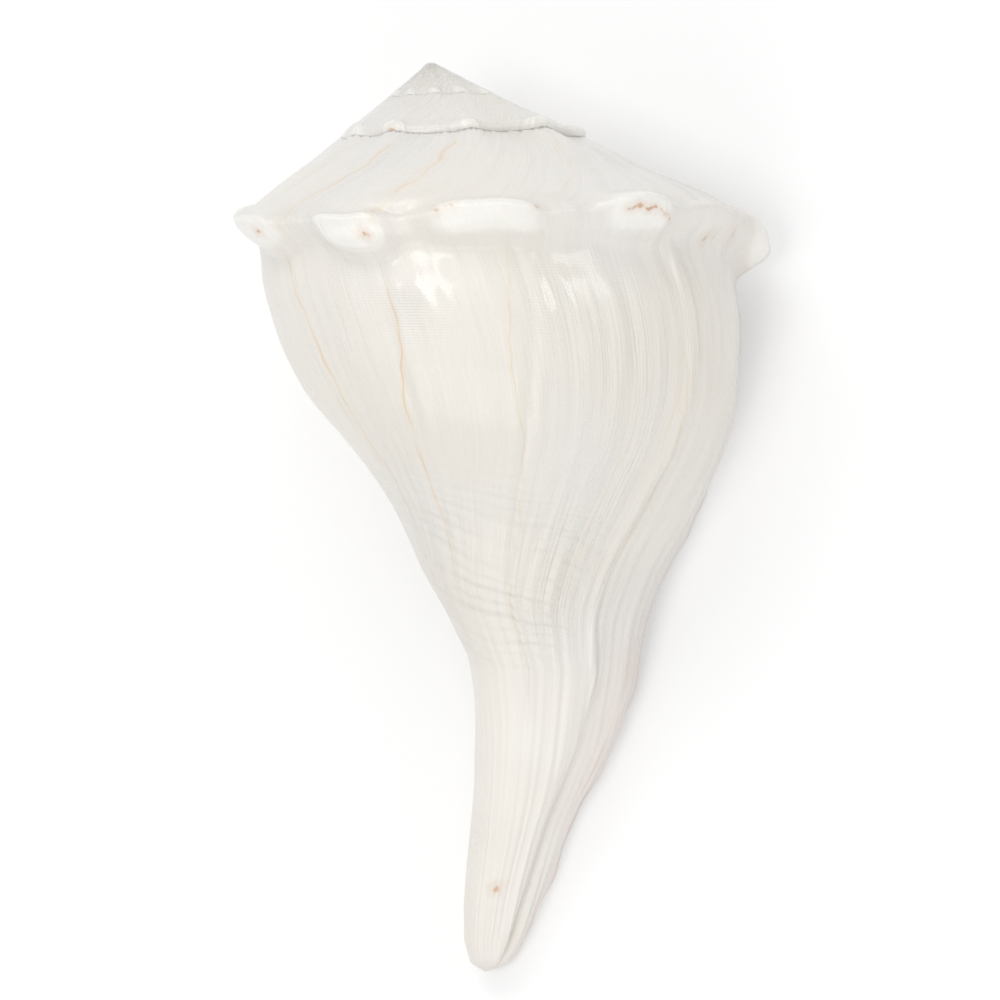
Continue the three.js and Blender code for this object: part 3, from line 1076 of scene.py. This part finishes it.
    def pit_field(
        self, angle: np.ndarray, along: np.ndarray
    ) -> tuple[np.ndarray, np.ndarray, np.ndarray]:
        """Returns where each point lies around its nearest pit, and how stained the pit is.

        Args:
            angle: growth angle in degrees.
            along: length along the lip, in mm.

        Returns:
            Distances across and up, in radii of the pit, and strength.
        """
        best = np.full(angle.shape, 99.0)
        across, up, strength = np.zeros((3, *angle.shape))
        for stain in self.stains:
            scale = 0.85 if stain.along < 60 else 0.13
            side = (angle - stain.angle) * scale / stain.radius
            rise = (along - stain.along) / stain.radius
            away = np.hypot(side, rise)
            nearer = away < best
            best = np.where(nearer, away, best)
            across = np.where(nearer, side, across)
            up = np.where(nearer, rise, up)
            strength = np.where(nearer, stain.strength, strength)
        strength = np.where(best < 5, strength, 0.0)
        return np.clip(across, -6, 6), np.clip(up, -6, 6), strength

    def _seams(self, graph: ShaderGraph, see: Signals) -> Socket:
        """Draws the seams, which waver a little.

        Args:
            graph: the material's nodes.
            see: what the surface is like at each point.

        Returns:
            How stained each point is.
        """
        wobble = (see.drift - 0.5) * 5.0 + (see.along * 0.63).sine() * 0.5
        away = (graph.attribute(Zone.SEAM_AWAY) + wobble).absolute()
        mark = (away.rise(1.0, 0.0) + away.rise(4.0, 0.0) * 0.22) * graph.attribute(Zone.SEAM_STAIN)
        return (mark * see.drift.rise(0.30, 0.62) * 1.2).clamp()

    def _spots(self, graph: ShaderGraph, see: Signals) -> Socket:
        """Draws the pits, with the stain around each.

        Args:
            graph: the material's nodes.
            see: what the surface is like at each point.

        Returns:
            How stained each point is.
        """
        across = graph.attribute(Zone.PIT_ACROSS)
        up = graph.attribute(Zone.PIT_UP)
        away = (across * across + up * up) ** 0.5 + (see.grain - 0.5) * 2.2
        mark = away.rise(1.0, 0.2) + away.rise(3.4, 0.6) * 0.35
        return (mark * graph.attribute(Zone.PIT_STAIN)).clamp()

    def _gloss(self, see: Signals) -> Socket:
        """Finds where the surface is still glossy: patches on the back and the canal.

        Args:
            see: what the surface is like at each point.

        Returns:
            1 where it is glossy.
        """
        left = see.angle.bell(-106.0, 13.0) * see.along.bell(64.0, 15.0)
        right = see.angle.bell(-73.0, 17.0) * see.along.bell(63.0, 17.0)
        canal = see.along.rise(140.0, 160.0) * see.along.rise(196.0, 180.0)
        canal = canal * see.angle.rise(-150.0, -110.0) * see.angle.rise(-10.0, -50.0)
        canal = canal * see.drift.rise(0.45, 0.65)
        return (left + right + canal * 0.5).clamp() * see.drift.rise(0.25, 0.55)

    def _threads(self, see: Signals) -> Socket:
        """Makes the fine spiral threads, which are worn away in places.

        Args:
            see: what the surface is like at each point.

        Returns:
            Height of the threads, between 0 and about 1.
        """
        wave = ((see.along + (see.drift - 0.5) * 0.9) * (TURN / self.thread_spacing)).sine()
        front = 0.30 + see.angle.bell(-92.0, 62.0) * 0.70
        patch = see.soft.rise(0.25, 0.6) * see.along.rise(48.0, 54.0)
        patch = patch * see.along.rise(150.0, 80.0) + 0.10
        return (wave + 1.0) * patch * front * 0.5


@dataclass
class WhelkShell:
    """The whole shell as one closed skin.

    Args:
        form: plain coiled surface.
        rest: how the shell lies.
        finish: material.
        columns_per_turn: grid columns in one turn.
        ramp_rows: grid rows on the ramp.
        body_rows: grid rows from the shoulder to the canal's tip.
        hollow_columns: grid columns inside.
        apex_dome: height of the first whorl's dome, in mm.
    """

    form: GrowthForm
    rest: RestPose
    finish: ShellFinish
    columns_per_turn: int = 260
    ramp_rows: int = 30
    body_rows: int = 140
    hollow_columns: int = 60
    apex_dome: float = 0.9

    def __post_init__(self) -> None:
        """Sets up the relief, the hollow and the table of lengths along the lip."""
        self.relief = Relief(self.form)
        self.hollow = Hollow(self.form, self.relief)
        self.arc_steps, self.arc_lengths = self.form.arc()

    def _ramp_steps(self) -> np.ndarray:
        """Profile steps over the ramp, closer together at the suture and the shoulder."""
        share = np.linspace(0, 1, self.ramp_rows + 1)
        return self.form.suture_step * (0.45 * share + 0.55 * (1 - np.cos(math.pi * share)) / 2)

    def _body_steps(self) -> np.ndarray:
        """Profile steps from the shoulder to the tip, closer together at the shoulder."""
        share = np.linspace(0, 1, self.body_rows + 1)
        span = self.form.tip_step - self.form.suture_step
        return self.form.suture_step + span * (0.8 * share + 0.2 * share**2)

    def _zones(
        self, angle: np.ndarray, step: np.ndarray, inside: np.ndarray
    ) -> dict[Zone, np.ndarray]:
        """Works out the surface attributes of a grid.

        Args:
            angle: growth angles in radians.
            step: places along the profile.
            inside: 1 where the grid is inside.

        Returns:
            Values of each attribute at each corner.
        """
        share, knob = self.relief.keel(angle, step)
        growth = np.degrees(self.form.age(angle, step))
        along = np.interp(step, self.arc_steps, self.arc_lengths)
        seam_away, seam_stain = self.finish.seam_field(growth, along)
        pit_across, pit_up, pit_stain = self.finish.pit_field(growth, along)
        return {
            Zone.INSIDE: inside,
            Zone.KNOB: share * knob,
            Zone.TIP: smooth_step(24.6, 25.6, step) * (1 - inside),
            Zone.GROWTH: growth,
            Zone.ALONG: along,
            Zone.SEAM_AWAY: seam_away,
            Zone.SEAM_STAIN: seam_stain,
            Zone.PIT_ACROSS: pit_across,
            Zone.PIT_UP: pit_up,
            Zone.PIT_STAIN: pit_stain,
        }

    def _spiral(self) -> SheetMesh:
        """Makes the ramps of every whorl in one long strip.

        Returns:
            The strip.
        """
        count = self.columns_per_turn * self.form.whorls
        angle, step = np.meshgrid(
            np.linspace(-self.form.whorls * TURN, 0, count + 1), self._ramp_steps()
        )
        points = self.relief.outer(angle, step)
        first = (angle < self.form.first_turn_end)[..., None]
        share = (step / self.form.suture_step)[..., None]
        # The first whorl is a low dome that fans out from the start of the spiral.
        swing = np.sin(angle / 2)[..., None] ** 2
        dome = self.apex_dome * 4 * share * (1 - share) * swing * np.array([0.0, 1.0, 0.0])
        start, bottom = points[-1, 0], points[-1][None]
        points = np.where(first, start + (bottom - start) * share + dome, points)
        return SheetMesh("ramps", points, self._zones(angle, step, np.zeros_like(angle)))

    def _body(self) -> SheetMesh:
        """Makes the outside of the last whorl below its shoulder.

        Returns:
            The sheet.
        """
        angle, step = np.meshgrid(
            np.linspace(-TURN, 0, self.columns_per_turn + 1), self._body_steps()
        )
        points = self.relief.outer(angle, step)
        points[-1] = self.form.smooth(np.array(0.0), np.array(self.form.tip_step))
        glaze = smooth_step(-322, -358, np.degrees(angle)) * smooth_step(6.5, 8.0, step)
        return SheetMesh("body", points, self._zones(angle, step, glaze))

    def _inside(self) -> SheetMesh:
        """Makes the hollow: down the wall's inner face and back up the pillar.

        Returns:
            A tube that is open at the lip and closed at its far end.
        """
        angles = np.linspace(0, -self.hollow.reach, self.hollow_columns + 1)
        steps = np.concatenate([self._ramp_steps(), self._body_steps()[1:]])
        roof_end = self.hollow.step_at(self.hollow.inner, angles, self.hollow.floor(angles))
        start = self.hollow.step_at(
            self.relief.outer, angles - TURN, self.hollow.floor(angles) - 0.5
        )
        roof_end[0] = self.form.tip_step
        start[0] = self.form.tip_step
        top = self.form.suture_step + 2.3 * smooth_step(0, math.radians(25), -angles)
        roof_angle, roof_share = np.meshgrid(angles, steps / self.form.tip_step)
        roof_step = roof_share * roof_end
        body = (self._body_steps() - self.form.suture_step)[::-1]
        floor_angle, floor_share = np.meshgrid(
            angles - TURN, body / (self.form.tip_step - self.form.suture_step)
        )
        floor_step = top + floor_share * (start - top)
        roof = self.hollow.inner(roof_angle, roof_step)
        floor = self.relief.outer(floor_angle, floor_step)
        tip = self.form.smooth(np.array(0.0), np.array(self.form.tip_step))
        roof[0, 0] = floor[-1, 0]
        roof[-1, 0] = tip
        floor[0, 0] = tip
        points = np.concatenate([roof, floor, roof[:1]])
        angle = np.concatenate([roof_angle, floor_angle, roof_angle[:1]])
        step = np.concatenate([roof_step, floor_step, roof_step[:1]])
        # The hollow ends in a cap that closes on one point.
        middle = np.broadcast_to(points[:-1, -1:].mean(axis=0), points[:, :1].shape)
        points = np.concatenate([points, middle], axis=1)
        angle = np.concatenate([angle, angle[:, -1:]], axis=1)
        step = np.concatenate([step, step[:, -1:]], axis=1)
        sheet = SheetMesh("hollow", points, self._zones(angle, step, np.ones_like(angle)))
        return sheet

    def _rim(self, inside: SheetMesh) -> SheetMesh:
        """Makes the rounded edge of the outer lip.

        Args:
            inside: sheet of the hollow, whose first column is the edge's inner side.

        Returns:
            The edge.
        """
        steps = np.concatenate([self._ramp_steps(), self._body_steps()[1:]])
        outer = self.relief.outer(np.zeros_like(steps), steps)
        outer[-1] = self.form.smooth(np.array(0.0), np.array(self.form.tip_step))
        inner = inside.points[: len(steps), 0]
        ahead = self.form.smooth(np.full_like(steps, 0.01), steps) - self.form.smooth(
            np.full_like(steps, -0.01), steps
        )
        ahead = ahead / np.maximum(np.linalg.norm(ahead, axis=-1, keepdims=True), 1e-9)
        width = np.linalg.norm(outer - inner, axis=-1, keepdims=True)
        rows = []
        for share in (0.0, 0.18, 0.5, 0.82, 1.0):
            bulge = math.sin(math.pi * share) * 0.32
            rows.append(outer + (inner - outer) * share + ahead * width * bulge)
        points = np.stack(rows, axis=1)
        angle = np.zeros(points.shape[:2])
        step = np.repeat(steps[:, None], len(rows), axis=1)
        half = np.repeat(np.array([[0.0, 0.1, 0.4, 0.8, 1.0]]), len(steps), axis=0)
        return SheetMesh("rim", points, self._zones(angle, step, half))

    def build(self) -> bpy.types.Object:
        """Builds the shell and gives it its finish.

        Returns:
            The finished shell.
        """
        inside = self._inside()
        sheets = [self._spiral(), self._body(), inside, self._rim(inside)]
        self._settle(sheets)
        made = [sheet.build() for sheet in sheets]
        bpy.ops.object.select_all(action="DESELECT")
        for piece in made:
            piece.select_set(True)
        bpy.context.view_layer.objects.active = made[1]
        bpy.ops.object.join()
        shell = bpy.context.object
        shell.name = "whelk_shell_surface"
        bpy.ops.object.mode_set(mode="EDIT")
        bpy.ops.mesh.select_all(action="SELECT")
        bpy.ops.mesh.remove_doubles(threshold=0.0000002)
        bpy.ops.mesh.dissolve_degenerate(threshold=0.000001)
        bpy.ops.mesh.select_all(action="DESELECT")
        bpy.ops.mesh.select_non_manifold(extend=False)
        LOG.info("shell: %d corners on open edges", shell.data.count_selected_items()[0])
        bpy.ops.mesh.select_all(action="SELECT")
        bpy.ops.mesh.normals_make_consistent(inside=False)
        bpy.ops.object.mode_set(mode="OBJECT")
        bpy.ops.object.shade_smooth()
        shell.data.materials.clear()
        shell.data.materials.append(self.finish.build())
        return shell

    def _settle(self, sheets: list[SheetMesh]) -> None:
        """Turns the sheets to the resting pose and centres them on the CAD solid.

        Args:
            sheets: every sheet of the shell, in the growth axes.
        """
        turn = np.array(self.rest.matrix)
        for sheet in sheets:
            sheet.points = sheet.points @ turn.T
        every = np.concatenate([sheet.points.reshape(-1, 3) for sheet in sheets])
        low, high = every.min(axis=0), every.max(axis=0)
        box_low, box_high = (np.array(corner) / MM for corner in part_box(Node.SHELL.value))
        move = (box_low + box_high) / 2 - (low + high) / 2
        move[2] = box_low[2] - low[2]
        self.move = Vector(move)
        for sheet in sheets:
            sheet.points = sheet.points + move

    def place(self, growth_point: Vector) -> Vector:
        """Returns where a point of the growth axes, in mm, lies in the scene, in metres."""
        return (self.rest.matrix @ growth_point + self.move) * MM


@dataclass(frozen=True)
class Studio:
    """Floor, soft lights and camera.

    Args:
        view_width: width of the view at the shell, in mm.
        lens: focal length in mm.
        lean: how far the shell's axis leans in the view, in radians.
        aim: point that the view centres on, in the growth axes, in mm.
        floor_size: side of the floor, in metres.
        light_distance: from the shell to each softbox, in metres.
        sensor_width: in mm.
        world_strength: brightness of the surroundings.
        softboxes: name, direction in the growth axes, size in metres and power of each light.
    """

    view_width: float = 220.0
    lens: float = 150.0
    lean: float = math.radians(6.7)
    aim: tuple[float, float, float] = (3.92, -97.7, 0.0)
    floor_size: float = 6.0
    light_distance: float = 1.1
    sensor_width: float = 36.0
    world_strength: float = 0.60
    softboxes: tuple[tuple[str, tuple[float, float, float], float, float], ...] = (
        ("key", (-0.38, 0.06, 0.93), 0.40, 2.7),
        ("side", (0.69, 0.06, 0.72), 0.34, 1.1),
        ("top", (-0.40, 1.05, 0.70), 0.60, 2.9),
        ("low", (-0.35, -0.85, 0.8), 0.80, 2.0),
    )

    def build(self, shell: WhelkShell) -> None:
        """Builds the stage and aims the camera at the shell's back.

        Args:
            shell: the finished shell.
        """
        bpy.ops.object.select_all(action="DESELECT")
        bpy.ops.mesh.primitive_plane_add(size=self.floor_size)
        floor = bpy.context.object
        floor.name = "floor"
        floor.data.materials.append(self._floor_finish())
        self._camera(shell)
        self._world()
        turn = shell.rest.matrix
        centre = shell.place(Vector(self.aim))
        for name, way, size, power in self.softboxes:
            self._light(name, centre, turn @ Vector(way), size, power)

    def _light(
        self, name: str, centre: Vector, way: Vector, size: float, power: float
    ) -> None:
        """Adds a softbox that faces the shell.

        Args:
            name: object name.
            centre: point that it faces.
            way: direction from that point to the light.
            size: its longer side, in metres.
            power: in watts.
        """
        place = centre + way.normalized() * self.light_distance
        bpy.ops.object.light_add(type="AREA", location=place)
        lamp = bpy.context.object
        lamp.name = name
        lamp.data.shape = "RECTANGLE"
        lamp.data.size = size
        lamp.data.size_y = size * 0.7
        lamp.data.energy = power
        lamp.rotation_mode = "QUATERNION"
        lamp.rotation_quaternion = way.to_track_quat("Z", "Y")

    def _floor_finish(self) -> bpy.types.Material:
        """Makes the floor's plain pale finish.

        Returns:
            The finished material.
        """
        material = bpy.data.materials.new("floor_finish")
        graph = ShaderGraph(material)
        shader = graph.node(
            "ShaderNodeBsdfPrincipled",
            {},
            {
                "Base Color": (0.62, 0.62, 0.62, 1),
                "Roughness": 0.9,
                "Specular IOR Level": 0.1,
                "Emission Color": (1, 1, 1, 1),
                "Emission Strength": 0.34,
            },
        )
        graph.node("ShaderNodeOutputMaterial", {}, {"Surface": shader})
        return material

    def _world(self) -> None:
        """Sets an even white surrounding."""
        world = bpy.data.worlds.new("surround")
        bpy.context.scene.world = world
        world.use_nodes = True
        background = world.node_tree.nodes["Background"]
        background.inputs["Color"].default_value = (1, 1, 1, 1)
        background.inputs["Strength"].default_value = self.world_strength
        bpy.context.scene.view_settings.view_transform = "Standard"

    def _camera(self, shell: WhelkShell) -> None:
        """Places the camera square on the shell's back.

        Args:
            shell: the finished shell.
        """
        bpy.ops.object.camera_add()
        camera = bpy.context.object
        camera.name = "camera"
        camera.data.lens = self.lens
        camera.data.sensor_width = self.sensor_width
        turn = shell.rest.matrix
        back = turn @ Vector((0, 0, 1))
        up = turn @ Vector((math.sin(self.lean), math.cos(self.lean), 0))
        right = up.cross(back)
        distance = self.view_width * MM * self.lens / self.sensor_width
        place = shell.place(Vector(self.aim)) + back * distance
        frame = Matrix((right, up, back)).transposed().to_4x4()
        camera.matrix_world = Matrix.Translation(place) @ frame
        bpy.context.scene.camera = camera


def main() -> None:
    """Builds the shell and the stage around it."""
    logging.basicConfig(level=logging.INFO, format="%(name)s: %(message)s")
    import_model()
    bpy.ops.object.select_all(action="DESELECT")
    shell = WhelkShell(GrowthForm(), RestPose(), ShellFinish())
    surface = shell.build()
    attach(surface, "root")
    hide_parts(Node.SHELL.value)
    LOG.info("shell: %d faces", len(surface.data.polygons))
    Studio().build(shell)


if __name__ == "__main__":
    main()
